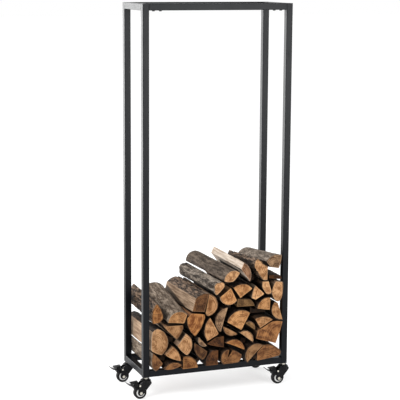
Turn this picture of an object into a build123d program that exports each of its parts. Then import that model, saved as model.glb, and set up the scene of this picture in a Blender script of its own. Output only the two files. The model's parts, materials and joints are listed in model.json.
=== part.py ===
from build123d import *
from math import cos, radians, sin, tan
import os

# Firewood log rack on four braked casters, loaded with split logs.
#
# Millimetres, +Z up, front of the rack towards -Y. The floor is Z = 0. The origin is on the floor
# under the middle of the overall box, with all four casters trailing towards -X.

# ---- driving dimensions ---------------------------------------------------------------------
RACK_WIDTH = 600.0
RACK_DEPTH = 250.0
RACK_HEIGHT = 1500.0
CASTER_HEIGHT = 84.0
TUBE = 25.0
TUBE_WALL = 1.5
TUBE_CORNER = 2.0
FIT = 0.3
RUNNING = 0.1

CAP_THICKNESS = 2.0
CAP_SPIGOT = 8.0
SPIGOT_CORNER = 1.0
PLUG_FLANGE = 1.5
PLUG_DEPTH = 30.0
STUB_LENGTH = 60.0
STUB_WALL = 3.0
RAIL_END_GAP = 0.5
SCREW_SPACING = (20.0, 47.0)
SCREW_RADIUS = 3.0
SCREW_HEAD_RADIUS = 5.5
SCREW_HEAD_HEIGHT = 3.3
SCREW_LENGTH = 12.0
SUNK_HEAD_RADIUS = 5.8
SUNK_HEAD_DEPTH = 2.8
SOCKET_RADIUS = 2.3
SOCKET_DEPTH = 2.0
SUNK_SOCKET_DEPTH = 1.6

STEM_RADIUS = 5.0
RACE_FLANGE = 3.0
LOCK_NUT_FLATS = 17.0
LOCK_NUT_HEIGHT = 4.6
WHEEL_RADIUS = 25.0
WHEEL_WIDTH = 20.0
HUB_RADIUS = 16.0
HUB_BOSS_RADIUS = 6.0
HUB_RIM = 5.5
TYRE_SHOULDER = 4.0
TRAIL = 23.0
AXLE_RADIUS = 3.0
AXLE_FLATS = 10.0
AXLE_HEAD_HEIGHT = 4.0
AXLE_NUT_HEIGHT = 5.0
CROWN_RADIUS = 21.0
CROWN_TOP = -10.5
CROWN_HEIGHT = 16.5
FORK_SHEET = 2.5
LEG_GAP = 24.4
BOSS_RADIUS = 11.5
PEDAL_PIN = (-26.0, -30.5)
PEDAL_PIN_RADIUS = 2.5
PEDAL_SWING = 12.0
PEDAL_REACH = 80.0
PEDAL_WIDTH = 28.0
BALL_RADIUS = 1.6
BALL_COUNT = 14
BALL_RING_RADIUS = 8.8

# ---- places worked out from them ------------------------------------------------------------
caster_reach = (PEDAL_REACH - CROWN_RADIUS) / 2
rack_x = caster_reach
frame_bottom = CASTER_HEIGHT
half_width = RACK_WIDTH / 2 - TUBE / 2
half_depth = RACK_DEPTH / 2 - TUBE / 2
rail_low = frame_bottom + TUBE / 2
rail_high = RACK_HEIGHT - TUBE / 2
bay_half_width = RACK_WIDTH / 2 - TUBE
bore = TUBE - 2 * TUBE_WALL
wheel_centre = (-TRAIL, WHEEL_RADIUS - CASTER_HEIGHT)
leg_y = (LEG_GAP + FORK_SHEET) / 2

CORNERS = {
    "front_left": (-1, -1),
    "front_right": (1, -1),
    "back_left": (-1, 1),
    "back_right": (1, 1),
}

# Each log: front overhang, length, yaw and tilt in degrees, scale of the back end, and the front
# end's corners clockwise as (x, z, bulge), measured from the middle of the frame's lower front
# edge. The bulge is how far the edge that starts at that corner bows out: large under bark,
# small on a split face.
FIREWOOD = {
    "logs_bottom_left": [
        (13, 300, 0, 0, 1.0, [(-266, 98, 2), (-226, 53, 3), (-254, 25.3, 3), (-270, 47, 3)]),
        (25, 305, 0, 0, 1.0, [(-224, 32, 20), (-152, 43, 8)]),
        (25, 300, 0, 0, 1.0, [(-147, 76, 18), (-86, 26, 0), (-148, 26, 0)]),
    ],
    "logs_bottom_right": [
        (12, 280, 0, 0, 1.0, [(-98, 124, 0), (-42, 84, 4), (-62, 50, 14)]),
        (14, 285, 0, 0, 1.0, [(-24, 86, 0), (2, 84, 0), (0, 26, 0), (-50, 26, 10)]),
        (20, 300, 0, 0, 1.0,
            [(20, 26, 22), (46, 86, 0), (41, 55, 0), (60, 82, 2), (98, 58, 8), (76, 27, 0)]),
        (25, 305, 0, 0, 1.0, [(119, 26, 40), (185, 90, 0)]),
        (20, 310, 0, 0, 1.0,
            [(163, 62, 0), (190, 89, 12), (264, 57, 3), (258, 40, 0), (222, 33, 0), (162, 28, 0)]),
    ],
    "logs_second_left": [
        (7, 290, 0, 0, 1.0, [(-246, 191, 35), (-228, 84, 2), (-269, 103, 2), (-266, 178, 3)]),
        (25, 300, 0, 0, 1.0, [(-187, 119, 8), (-155, 58, 4), (-220, 88, 0)]),
        (28, 310, 0, 0, 1.0, [(-173, 121, 0), (-136, 166, 24), (-134, 79, 2)]),
    ],
    "logs_second_middle": [
        (22, 295, 0, 0, 1.0, [(-82, 148, 0), (-48, 108, 19)]),
        (28, 305, 0, 0, 1.0, [(-38, 223, 0), (-2, 153, 0), (-50, 128, 18)]),
        (12, 285, 0, 0, 1.0, [(-46, 113, 0), (-8, 137, 0), (26, 140, 0), (26, 92, 2)]),
        (24, 300, 0, 0, 1.0, [(16, 181, 2), (78, 145, 22)]),
        (26, 305, 0, 0, 1.0, [(28, 114, 28), (107, 78, 0)]),
    ],
    "logs_second_right": [
        (28, 310, 0, 0, 1.0, [(84, 151, 26), (141, 107, 0)]),
        (18, 290, 0, 0, 1.0, [(110, 184, 20), (153, 152, 0)]),
        (26, 300, 0, 0, 1.0, [(150, 199, 12), (226, 190, 0), (172, 160, 0)]),
        (24, 305, 0, 0, 1.0,
            [(154, 118, 0), (162, 150, 0), (218, 181, 3), (268, 178, 2), (240, 92, 0)]),
    ],
    "logs_third_left": [
        (10, 290, 0, 3, 1.0,
            [(-250, 290, 4), (-230, 262, 2), (-222, 232, 4), (-250, 209, 2),
             (-266, 214, 2), (-267, 255, 3)]),
        (26, 305, 0, 8, 1.15, [(-210, 214, 27), (-131, 241, 0), (-144, 207, 0)]),
        (24, 300, 0, 0, 1.0, [(-224, 202, 0), (-149, 201, 3), (-150, 180, 3), (-172, 147, 3)]),
        (25, 305, 0, 0, 1.0,
            [(-133, 226, 0), (-112, 245, 0), (-61, 236, 3), (-60, 214, 5), (-99, 151, 10)]),
    ],
    "logs_third_middle": [
        (26, 300, 0, 0, 1.0, [(-42, 316, 37), (-44, 227, 3), (-57, 239, 0)]),
        (26, 300, 0, 0, 1.0, [(36, 256, 0), (6, 158, 38)]),
        (28, 310, 0, 0, 1.0, [(31, 196, 28), (128, 226, 0), (92, 160, 0)]),
    ],
    "logs_third_right": [
        (12, 285, 0, 0, 1.0, [(81, 284, 0), (130, 278, 5), (154, 248, 0), (77, 249, 0)]),
        (26, 300, 0, 0, 1.0, [(158, 239, 16), (214, 281, 0), (212, 230, 0)]),
        (25, 305, 0, 0, 1.0, [(229, 258, 2), (247, 256, 0), (268, 185, 27)]),
        (-10, 250, 0, 0, 1.0,
            [(142, 214, 0), (142, 240, 0), (155, 233, 0), (209, 224, 0), (213, 213, 0)]),
    ],
    "logs_fourth": [
        (28, 305, 0, 0, 1.0, [(1, 298, 0), (46, 332, 0), (73, 281, 25)]),
        (28, 310, 0, 0, 1.0, [(56, 331, 17), (137, 323, 0), (86, 288, 0)]),
        (24, 295, 0, 0, 1.0, [(150, 334, 0), (189, 296, 0), (152, 275, 0), (134, 284, 3)]),
        (27, 290, 0, -1.5, 0.9,
            [(177, 348, 0), (205, 346, 0), (219, 303, 3), (206, 294, 3), (191, 302, 6)]),
        (22, 300, 0, 0, 1.0,
            [(221, 298, 3), (237, 342, 0), (267, 337, 2), (267, 285, 3), (254, 262, 2), (240, 262, 3)]),
        (3, 280, 0, 0, 1.0, [(214, 366, 2), (268, 358, 2), (268, 344, 0), (216, 351, 0)]),
    ],
    "log_dark_bark": [(32, 320, 1, -0.7, 1.05,
        [(-100, 303, 8), (-46, 318, 0), (-63, 247, 0), (-114, 253, 0)])],
    "log_birch": [(37, 325, 5, 2, 1.0, [(-25, 334, 10), (-4, 359, 8), (18, 344, 2), (-16, 309, 4)])],
    "log_round_grey": [(37, 325, 7, 3, 1.0, [(14, 362, 24), (80, 391, 2), (52, 358, 3)])],
    "log_pale_split": [(37, 325, 0, 0, 1.0, [(83, 405, 0), (96, 431, 17), (122, 352, 0)])],
    "log_rough_bark": [(30, 300, 0, -3, 0.8,
        [(150, 392, 9), (152, 441, 3), (178, 419, 0), (200, 405, 0), (198, 352, 0), (180, 352, 0)])],
    "log_top_right": [(30, 300, 0.5, -5.5, 0.95,
        [(192, 425, 14), (258, 447, 2), (246, 395, 0), (210, 401, 0)])],
}

# Small splits wedged deep in the gaps of the pile: middle x and z, size and turn in degrees.
WEDGES = [
    (-185, 136, 15.5, 20), (-215, 65, 14.5, 100), (-109, 84, 12.5, 60), (-100, 138, 12.0, 15),
    (-74, 40, 13.0, 80), (52, 248, 16.0, 35), (7, 262, 12.0, 75), (120, 294, 13.0, 50),
    (132, 204, 13.0, 10), (85, 133, 12.0, 65), (118, 104, 15.0, 25), (52, 344, 12.0, 90),
    (146, 355, 19.5, 40), (87, 364, 19.0, 70), (221, 335, 9.0, 5), (220, 274, 6.0, 0), (50, 173, 7.0, 45),
]
WEDGE_CORNERS = (0, 70, 165, 265)
WEDGE_INSET = 22.0
WEDGE_LENGTH = 215.0


def square_tube(length, wall=TUBE_WALL, outside=TUBE, corner=TUBE_CORNER):
    """A square tube along Z, centred on the origin."""
    inner_corner = max(corner - wall, 0.5)
    inside = outside - 2 * wall
    section = RectangleRounded(outside, outside, corner) - RectangleRounded(inside, inside, inner_corner)
    return extrude(section, length / 2, both=True)


def along_x(shape):
    return Rot(0, 90, 0) * shape


def along_y(shape):
    return Rot(90, 0, 0) * shape


def mirror_pair(sign, shape):
    """The shape as drawn at the right-hand end, or turned half round for the left-hand end."""
    return shape if sign > 0 else Rot(0, 0, 180) * shape


def at_corner(side, face, z=0.0):
    return Pos(rack_x + side * half_width, face * half_depth, z)


def write(name, solids):
    """One STEP per node; a list becomes a group of separate solids."""
    shape = Compound(children=list(solids)) if isinstance(solids, (list, tuple)) else solids
    shape.label = name
    export_step(shape, f"parts/{name}.step")


# ---- frame ----------------------------------------------------------------------------------
def post():
    length = RACK_HEIGHT - CAP_THICKNESS - frame_bottom
    return Pos(0, 0, frame_bottom + length / 2) * square_tube(length)


def post_cap():
    """Steel lid on a post's open top, flush with the rails, with a spigot inside the tube."""
    lid = extrude(RectangleRounded(TUBE, TUBE, TUBE_CORNER), CAP_THICKNESS)
    lid = fillet(lid.edges().group_by(Axis.Z)[-1], 0.6)
    spigot_side = bore - 2 * FIT
    spigot = extrude(RectangleRounded(spigot_side, spigot_side, SPIGOT_CORNER), -CAP_SPIGOT)
    return Pos(0, 0, RACK_HEIGHT - CAP_THICKNESS) * (lid + spigot)


def post_plug():
    """Threaded plug in a post's foot, which the caster's stem screws into."""
    flange = Pos(0, 0, -PLUG_FLANGE) * extrude(RectangleRounded(TUBE, TUBE, TUBE_CORNER), PLUG_FLANGE)
    side = bore - 2 * FIT
    body = extrude(RectangleRounded(side, side, SPIGOT_CORNER), PLUG_DEPTH)
    hole = Pos(0, 0, PLUG_DEPTH / 2) * Cylinder(STEM_RADIUS + RUNNING, 2 * PLUG_DEPTH)
    return Pos(0, 0, frame_bottom) * (flange + body - hole)


def side_rail():
    return along_y(square_tube(RACK_DEPTH - 2 * TUBE))


def screw_positions():
    """Distances of the two screws from the middle of the rail, at its right-hand end."""
    return [bay_half_width - inset for inset in SCREW_SPACING]


def screw_hole(clearance):
    """Cutter for one screw that enters a top rail from below, at the rail's outer face."""
    return Pos(0, 0, SCREW_LENGTH / 2) * Cylinder(SCREW_RADIUS + clearance, SCREW_LENGTH + 2)


def sunk_hole(clearance):
    """Cutter for one countersunk screw that enters a bottom rail from above."""
    cone = Cone(SUNK_HEAD_RADIUS + clearance, SCREW_RADIUS + clearance, SUNK_HEAD_DEPTH)
    return screw_hole(clearance) + Pos(0, 0, SUNK_HEAD_DEPTH / 2) * cone


def screw_place(level):
    """Turns a screw or its hole from the rail's lower face to the face that the bay is on."""
    return Pos(0, 0, -TUBE / 2) if level == "top" else Pos(0, 0, TUBE / 2) * Rot(180, 0, 0)


def long_rail(level):
    """Front or back rail with clearance holes for the screws in the wall that faces the bay."""
    rail = along_x(square_tube(2 * (bay_half_width - RAIL_END_GAP)))
    hole = screw_hole(2 * RUNNING) if level == "top" else sunk_hole(RUNNING)
    for distance in screw_positions():
        for end in (-1, 1):
            rail -= Pos(end * distance, 0, 0) * screw_place(level) * hole
    return rail


def rail_stub(level):
    """Connector welded to the post, inside the long rail's right-hand end, with tapped holes."""
    side = bore - 2 * FIT
    stub = Pos(bay_half_width - STUB_LENGTH / 2, 0, 0)
    stub *= along_x(square_tube(STUB_LENGTH, STUB_WALL, side, SPIGOT_CORNER))
    hole = screw_hole(RUNNING) if level == "top" else sunk_hole(RUNNING)
    for distance in screw_positions():
        stub -= Pos(distance, 0, 0) * screw_place(level) * hole
    return stub


def button_screw():
    """Hexagon-socket button head under Z = 0, with its shank standing up."""
    head = Pos(0, 0, -SCREW_HEAD_HEIGHT / 2) * Cylinder(SCREW_HEAD_RADIUS, SCREW_HEAD_HEIGHT)
    head = fillet(head.edges().group_by(Axis.Z)[0], SCREW_HEAD_HEIGHT * 0.75)
    socket = Pos(0, 0, -SCREW_HEAD_HEIGHT) * extrude(RegularPolygon(SOCKET_RADIUS, 6), SOCKET_DEPTH)
    shank = Pos(0, 0, SCREW_LENGTH / 2) * Cylinder(SCREW_RADIUS, SCREW_LENGTH)
    return head + shank - socket


def sunk_screw():
    """Countersunk screw whose flat head lies flush with Z = 0."""
    head = Pos(0, 0, SUNK_HEAD_DEPTH / 2) * Cone(SUNK_HEAD_RADIUS, SCREW_RADIUS, SUNK_HEAD_DEPTH)
    socket = extrude(RegularPolygon(SOCKET_RADIUS, 6), SUNK_SOCKET_DEPTH)
    shank = Pos(0, 0, SCREW_LENGTH / 2) * Cylinder(SCREW_RADIUS, SCREW_LENGTH)
    return head + shank - socket


def rail_screws(level, z):
    """The eight screws of one pair of long rails, heads on the side that faces the log bay."""
    screw = button_screw() if level == "top" else sunk_screw()
    screws = []
    for face in (-1, 1):
        for end in (-1, 1):
            for distance in screw_positions():
                place = Pos(rack_x + end * distance, face * half_depth, z)
                screws.append(place * screw_place(level) * screw)
    return screws


def build_frame():
    for name, (side, face) in CORNERS.items():
        write(f"post_{name}", at_corner(side, face) * post())
    write("post_caps", [at_corner(side, face) * post_cap() for side, face in CORNERS.values()])
    write("post_plugs", [at_corner(side, face) * post_plug() for side, face in CORNERS.values()])
    stubs = []
    screws = []
    for level, z in (("bottom", rail_low), ("top", rail_high)):
        for name, side in (("left", -1), ("right", 1)):
            write(f"side_rail_{level}_{name}", Pos(rack_x + side * half_width, 0, z) * side_rail())
        for name, face in (("front", -1), ("back", 1)):
            place = Pos(rack_x, face * half_depth, z)
            write(f"long_rail_{level}_{name}", place * long_rail(level))
            for end in (-1, 1):
                stubs.append(place * mirror_pair(end, rail_stub(level)))
        screws += rail_screws(level, z)
    write("rail_stubs", stubs)
    write("rail_screws", screws)


# ---- caster: every piece is drawn round its stem, with Z = 0 at the foot of the post ----------
def on_side(x, z):
    """A place in the caster's side view."""
    return Pos(x, 0, z)


def hexagon(across_flats, height):
    return extrude(RegularPolygon(across_flats / 2, 6, major_radius=False), height)


def stem():
    """Threaded stem with the flange under the crown that carries the lower race."""
    top = PLUG_DEPTH - 4
    flange_top = CROWN_TOP - FORK_SHEET - 2 * BALL_RADIUS - 2 * FIT
    shank = Pos(0, 0, (top + flange_top) / 2) * Cylinder(STEM_RADIUS, top - flange_top)
    flange = Pos(0, 0, flange_top - RACE_FLANGE / 2) * Cylinder(LEG_GAP / 2 - 2 * FIT, RACE_FLANGE)
    return chamfer(shank.edges().group_by(Axis.Z)[-1], 1.0) + flange


def lock_nut():
    nut = hexagon(LOCK_NUT_FLATS, LOCK_NUT_HEIGHT)
    rounding = Cylinder(LOCK_NUT_FLATS * 0.553, LOCK_NUT_HEIGHT)
    nut = nut & Pos(0, 0, LOCK_NUT_HEIGHT / 2) * rounding
    nut -= Cylinder(STEM_RADIUS + RUNNING, 20)
    return Pos(0, 0, -PLUG_FLANGE - FIT - LOCK_NUT_HEIGHT) * nut


def thrust_washer():
    """Pressed cup that closes the upper race, between the lock nut and the crown."""
    top = -PLUG_FLANGE - 2 * FIT - LOCK_NUT_HEIGHT
    height = top - (CROWN_TOP + FIT)
    cup = Pos(0, 0, top - height / 2) * Cylinder(CROWN_RADIUS - 6, height)
    cup = fillet(cup.edges().group_by(Axis.Z)[-1], height * 0.45)
    return cup - Cylinder(STEM_RADIUS + RUNNING, 40)


def swivel_balls():
    z = CROWN_TOP - FORK_SHEET - FIT - BALL_RADIUS
    balls = []
    for index in range(BALL_COUNT):
        angle = radians(360 * index / BALL_COUNT)
        x = BALL_RING_RADIUS * cos(angle)
        y = BALL_RING_RADIUS * sin(angle)
        balls.append(Pos(x, y, z) * Sphere(BALL_RADIUS))
    return balls


def leg_outline():
    """Side view of one fork leg: a taut skin round the axle boss, the pedal pin and the crown."""
    boss = Pos(*wheel_centre) * Circle(BOSS_RADIUS)
    pin = Pos(*PEDAL_PIN) * Circle(5.0)
    crown = Pos(1, CROWN_TOP - 11) * RectangleRounded(2 * CROWN_RADIUS - 4, 13, 5)
    edges = boss.edges() + pin.edges() + crown.edges()
    return make_hull(edges)


def fork():
    """Stamped yoke: a round crown with two legs, bored for the stem, axle and pedal pin."""
    crown = Pos(0, 0, CROWN_TOP - CROWN_HEIGHT / 2) * Cylinder(CROWN_RADIUS, CROWN_HEIGHT)
    crown = fillet(crown.edges().group_by(Axis.Z)[-1], 4.0)
    hollow_height = CROWN_HEIGHT - FORK_SHEET
    hollow = Pos(0, 0, CROWN_TOP - FORK_SHEET - hollow_height / 2)
    hollow *= Cylinder(CROWN_RADIUS - FORK_SHEET, hollow_height + FIT)
    crown -= hollow
    slot_z = CROWN_TOP - FORK_SHEET - FIT
    crown -= Pos(-CROWN_RADIUS, 0, slot_z - CROWN_HEIGHT / 2) * Box(2 * CROWN_RADIUS, LEG_GAP, CROWN_HEIGHT)
    leg = Plane.XZ * extrude(leg_outline(), FORK_SHEET / 2, both=True)
    yoke = crown + Pos(0, leg_y, 0) * leg + Pos(0, -leg_y, 0) * leg
    yoke -= Cylinder(STEM_RADIUS + 1.0, 60)
    yoke -= on_side(*wheel_centre) * along_y(Cylinder(AXLE_RADIUS + RUNNING, 60))
    return yoke - on_side(*PEDAL_PIN) * along_y(Cylinder(PEDAL_PIN_RADIUS + RUNNING, 60))


def axle_bolt():
    """Bolt through both legs with its lock nut on the front side."""
    reach = leg_y + FORK_SHEET / 2 + FIT
    shank = Pos(0, 0.5, 0) * along_y(Cylinder(AXLE_RADIUS, 2 * reach + 8))
    head = Pos(0, reach + AXLE_HEAD_HEIGHT, 0) * along_y(hexagon(AXLE_FLATS, AXLE_HEAD_HEIGHT))
    return on_side(*wheel_centre) * (shank + head)


def axle_nut():
    reach = leg_y + FORK_SHEET / 2 + FIT
    nut = along_y(hexagon(AXLE_FLATS, AXLE_NUT_HEIGHT) - Cylinder(AXLE_RADIUS + RUNNING, 20))
    return on_side(*wheel_centre) * Pos(0, -reach, 0) * nut


def tyre():
    ring = Cylinder(WHEEL_RADIUS, WHEEL_WIDTH)
    ring = fillet(ring.edges(), TYRE_SHOULDER)
    ring -= Cylinder(HUB_RADIUS + RUNNING, 2 * WHEEL_WIDTH)
    return on_side(*wheel_centre) * along_y(ring)


def hub():
    """Moulded hub: a raised rim on each face round a dished web, and a boss on the axle."""
    disc = Cylinder(HUB_RADIUS, WHEEL_WIDTH + 1)
    disc = chamfer(disc.edges(), 0.8)
    dish = Cylinder(HUB_RADIUS - HUB_RIM, 6.0) - Cylinder(HUB_BOSS_RADIUS, 10)
    for face in (-1, 1):
        disc -= Pos(0, 0, face * (WHEEL_WIDTH / 2 + 0.5)) * dish
    boss = Cylinder(HUB_BOSS_RADIUS, LEG_GAP - 4 * FIT)
    body = disc + boss - Cylinder(AXLE_RADIUS + RUNNING, 60)
    return on_side(*wheel_centre) * along_y(body)


def pedal_pin():
    """Rivet through the legs that the brake pedal turns on."""
    reach = leg_y + FORK_SHEET / 2
    shank = along_y(Cylinder(PEDAL_PIN_RADIUS, 2 * reach))
    head = fillet(Cylinder(PEDAL_PIN_RADIUS + 1.2, 1.6).edges().group_by(Axis.Z)[-1], 1.0)
    heads = Pos(0, -reach - 0.8, 0) * along_y(head) + Pos(0, reach + 0.8, 0) * Rot(180, 0, 0) * along_y(head)
    return on_side(*PEDAL_PIN) * (shank + heads)


def pedal_block_outline():
    """Side view of the pressing that sits in the fork, from the pin to the brake shoe."""
    pin_x, pin_z = PEDAL_PIN
    boss = Pos(pin_x, pin_z) * Circle(3.3)
    shoe = Pos(pin_x - 21, pin_z - 10) * Circle(2.5)
    heel = Pos(pin_x - 22, pin_z + 6) * Circle(3.0)
    return make_hull(boss.edges() + shoe.edges() + heel.edges())


def tongue_outline():
    """Side view of the foot plate, curling up to its tip."""
    tip = (-PEDAL_REACH, -12.5)
    root = (PEDAL_PIN[0] - 17, PEDAL_PIN[1] + 3.5)
    upper = ThreePointArc(root, (-64.0, -24.5), tip)
    end = Line(tip, (tip[0], tip[1] - 2.6))
    lower = ThreePointArc((tip[0], tip[1] - 2.6), (-62.0, -28.5), (root[0], root[1] - 4.5))
    close = Line((root[0], root[1] - 4.5), root)
    return make_face(Wire([upper, end, lower, close]))


def release_outline():
    """Side view of the shorter upper plate that lets the brake off."""
    corners = [(-33, -14.2), (-62, -17.2), (-62, -19.4), (-47, -20.2), (-43, -26), (-36, -26)]
    return make_face(Polyline(*corners, close=True))


def wheel_swept(angle):
    """The tyre's section as the pedal meets it, with the pedal pressed down by an angle."""
    pin_x, pin_z = PEDAL_PIN
    dx = wheel_centre[0] - pin_x
    dz = wheel_centre[1] - pin_z
    turn = radians(angle)
    centre = (pin_x + dx * cos(turn) + dz * sin(turn), pin_z - dx * sin(turn) + dz * cos(turn))
    return on_side(*centre) * along_y(Cylinder(WHEEL_RADIUS + 2 * FIT, 60))


def pedal():
    block_width = LEG_GAP - 4 * FIT
    block = Plane.XZ * extrude(pedal_block_outline(), block_width / 2, both=True)
    release = Plane.XZ * extrude(release_outline(), block_width / 2 - 1.5, both=True)
    tongue = Plane.XZ * extrude(tongue_outline(), PEDAL_WIDTH / 2, both=True)
    plan = Pos(-PEDAL_REACH + 25, 0, -20) * extrude(RectangleRounded(50, PEDAL_WIDTH, 7), 30, both=True)
    pressing = block + release + (tongue & plan)
    for angle in (0, PEDAL_SWING / 2, PEDAL_SWING):
        pressing -= wheel_swept(angle)
    return pressing - on_side(*PEDAL_PIN) * along_y(Cylinder(PEDAL_PIN_RADIUS + RUNNING, 60))


def build_casters():
    for name, (side, face) in CORNERS.items():
        place = at_corner(side, face, frame_bottom)
        write(f"fork_{name}", place * fork())
        write(f"axle_{name}", [place * axle_bolt(), place * axle_nut()])
        write(f"pedal_pin_{name}", place * pedal_pin())
        write(f"tyre_{name}", place * tyre())
        write(f"hub_{name}", place * hub())
        write(f"pedal_{name}", place * pedal())
    places = [at_corner(side, face, frame_bottom) for side, face in CORNERS.values()]
    write("caster_stems", [place * stem() for place in places])
    write("lock_nuts", [place * lock_nut() for place in places])
    write("thrust_washers", [place * thrust_washer() for place in places])
    write("swivel_balls", [place * ball for place in places for ball in swivel_balls()])


# ---- firewood -------------------------------------------------------------------------------
def log_section(corners, scale, shift, y):
    """One end of a log, upright at depth y, scaled about its own middle."""
    middle_x = sum(x for x, _, _ in corners) / len(corners)
    middle_z = sum(z for _, z, _ in corners) / len(corners)
    moved = []
    for x, z, bulge in corners:
        moved.append((middle_x + (x - middle_x) * scale + shift[0],
                      middle_z + (z - middle_z) * scale + shift[1], bulge * scale))
    edges = []
    for index, (x, z, bulge) in enumerate(moved):
        next_x, next_z, _ = moved[(index + 1) % len(moved)]
        if bulge:
            edges.append(SagittaArc((x, z), (next_x, next_z), bulge))
        else:
            edges.append(Line((x, z), (next_x, next_z)))
    return Plane((0, y, 0), x_dir=(1, 0, 0), z_dir=(0, -1, 0)) * make_face(Wire(edges))


def log(overhang, length, yaw, tilt, back_scale, corners):
    front = -RACK_DEPTH / 2 - overhang
    lean = (-length * tan(radians(yaw)), length * tan(radians(tilt)))
    ends = [log_section(corners, 1.0, (0, 0), front), log_section(corners, back_scale, lean, front + length)]
    return Pos(rack_x, 0, frame_bottom) * loft(ends, ruled=True)


def wedge(x, z, size, turn):
    """A small four-sided split whose corners lie on a circle, at uneven angles, clockwise."""
    corners = []
    for angle in WEDGE_CORNERS:
        way = radians(turn - angle)
        corners.append((x + size * cos(way), z + size * sin(way), 0))
    return log(-WEDGE_INSET, WEDGE_LENGTH, 0, 0, 1.0, corners)


def build_firewood():
    for name, logs in FIREWOOD.items():
        write(name, [log(*values) for values in logs])
    write("logs_wedged", [wedge(*values) for values in WEDGES])


os.makedirs("parts", exist_ok=True)
build_frame()
build_casters()
build_firewood()
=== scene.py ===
"""Looks for the firewood log rack: a black steel frame on casters, filled with split logs.

Every log is rebuilt round its CAD solid: the solid's own outline is read from the frame, then
its sides get bark or split grain and its ends get a sawn face. Lengths are in metres, except
where a name ends in _mm. The log material works in mm, in each log's own grain.
"""
import json
import math
import random

import bmesh
import bpy
import numpy as np
from mathutils import Matrix, Vector, noise
from mathutils.bvhtree import BVHTree


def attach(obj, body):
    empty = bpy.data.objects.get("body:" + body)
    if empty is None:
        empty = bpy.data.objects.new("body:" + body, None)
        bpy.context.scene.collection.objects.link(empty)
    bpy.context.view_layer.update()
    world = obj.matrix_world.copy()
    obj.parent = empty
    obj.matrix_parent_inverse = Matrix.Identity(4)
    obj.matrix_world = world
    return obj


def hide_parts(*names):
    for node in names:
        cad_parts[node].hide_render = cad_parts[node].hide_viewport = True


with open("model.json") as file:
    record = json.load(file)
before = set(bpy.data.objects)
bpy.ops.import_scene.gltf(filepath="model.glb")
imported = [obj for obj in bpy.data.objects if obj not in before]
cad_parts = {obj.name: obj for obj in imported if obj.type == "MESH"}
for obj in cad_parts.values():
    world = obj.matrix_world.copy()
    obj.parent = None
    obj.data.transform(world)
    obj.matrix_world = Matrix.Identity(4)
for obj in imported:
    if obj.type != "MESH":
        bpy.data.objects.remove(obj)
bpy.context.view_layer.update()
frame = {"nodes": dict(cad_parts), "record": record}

MM = 0.001

# ---- camera, with its angles in radians -----------------------------------------------------
CAMERA_PLACE = (-1.7885, -4.7788, 1.6215)
CAMERA_YAW = 0.35873
CAMERA_DOWN = 0.17126
CAMERA_ROLL = 0.00549
CAMERA_LENS_MM = 119.6
SENSOR_WIDTH_MM = 36.0

# ---- studio ---------------------------------------------------------------------------------
# Area lights: where each is, what it points at, its width and height, and its power in watts.
LIGHTS = {
    "key_left": ((-3.0, -1.6, 2.8), (0, 0, 0.5), (2.0, 2.0), 120),
    "back_left": ((-2.1, 3.9, 1.5), (0, 0, 0.9), (3.0, 3.0), 170),
    "front_right": ((1.65, -4.2, 1.1), (0, 0, 1.1), (1.6, 1.5), 115),
}
WORLD_BRIGHTNESS = 1.0
FLOOR_HALF = 40.0
FLOOR_GLOW = 0.5

# ---- log meshes -----------------------------------------------------------------------------
SAME_PLACE = 0.01 * MM          # vertices of a CAD mesh nearer than this are one
ON_END = 0.02 * MM              # vertices this near to an end's plane belong to the end
CORNER_TURN = math.radians(19)  # an outline that turns more than this has a corner there
SHARP_TURN = math.radians(50)   # an edge of the mesh that turns more than this is shaded sharp
BARK_BULGE = 0.11               # a side that bows out by more than this share of it has bark
FACING_SHARE = 0.6              # how squarely a flat side must face a way to count
OUTLINE_STEP = 0.0026           # between points round a log
RING_STEP = 0.005               # between rings of points from front to back
FEWEST_RINGS = 12               # of those
NARROW_RING = 0.25              # the first and last gaps between rings, as a share of the others
END_STEP = 0.005                # between rings of points on a sawn end
END_INSETS = (2 * MM, 4 * MM)   # the rings of a sawn end that follow its chamfer
DEEPEST_INSET = 0.8             # of the way to the middle
EDGE_CHAMFER = 0.0007
NARROWEST_END = 4 * MM          # the least distance from core to rim that those rings allow for
END_LEAN = 0.03                 # the steepest slope of a sawn end
CORE_GRID = 25                  # places tried each way for a log's core
SMALLEST_ARC = 15 * MM          # a side shorter than this says nothing about the pith
FLATTEST_ARC = 0.05             # the least bow of a bark side, as a share of its length
PITH_AWAY = (0.03, 0.07)        # how far off the pith of a log with no bark arc is
PAINTED_SHADE_REACH = 0.07              # logs nearer than this paint shade on each other's sides
DEEP_FISSURE_MM = 2.0           # fissures this deep are fully dark
FAR = 1.0                       # stands for a distance to nothing
GRAIN_APART_MM = 613.0          # between one log's grain and the next one's
HEIGHT_WEIGHT = 0.2             # how much height counts next to x in a node's order of logs

# Noise that carves the logs: what it adds to a log's seed, its cycles per metre along x, y and
# z, how deep it cuts in mm, and what is added to the noise, -1 to 1, before it cuts.
CARVING = {
    "knots": (1, (26, 12, 26), 0.7, 0.5),
    "grit": (2, (210, 90, 210), 0.4, 0.0),
    "fibre": (3, (150, 7, 150), 0.5, 0.5),
    "warp": (4, (24, 7, 24), 1.3, 0.35),
    "saw_face": (6, (60, 60, 60), 0.6, 0.6),
    "saw_marks": (7, (420, 60, 90), 0.35, 0.5),
}

# Noise that places fissures and chipped corners: what it adds to the seed, and its cycles per
# metre. A fissure is deepest up to the first of its noise values and gone from the second on. A
# chip starts at the first and is full from the second on.
FISSURES = (0, (95, 22, 95))
FISSURE_VALUES = (0.02, 0.2)
CHIPS = (5, (20, 40, 20))
CHIP_VALUES = (0.1, 0.5)
CHIP_DEEP_MM = 1.6
CHIP_REACH = 5 * MM             # from a corner
SEED_SHIFT = 7.31               # how far apart the noises of two seeds are taken

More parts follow.
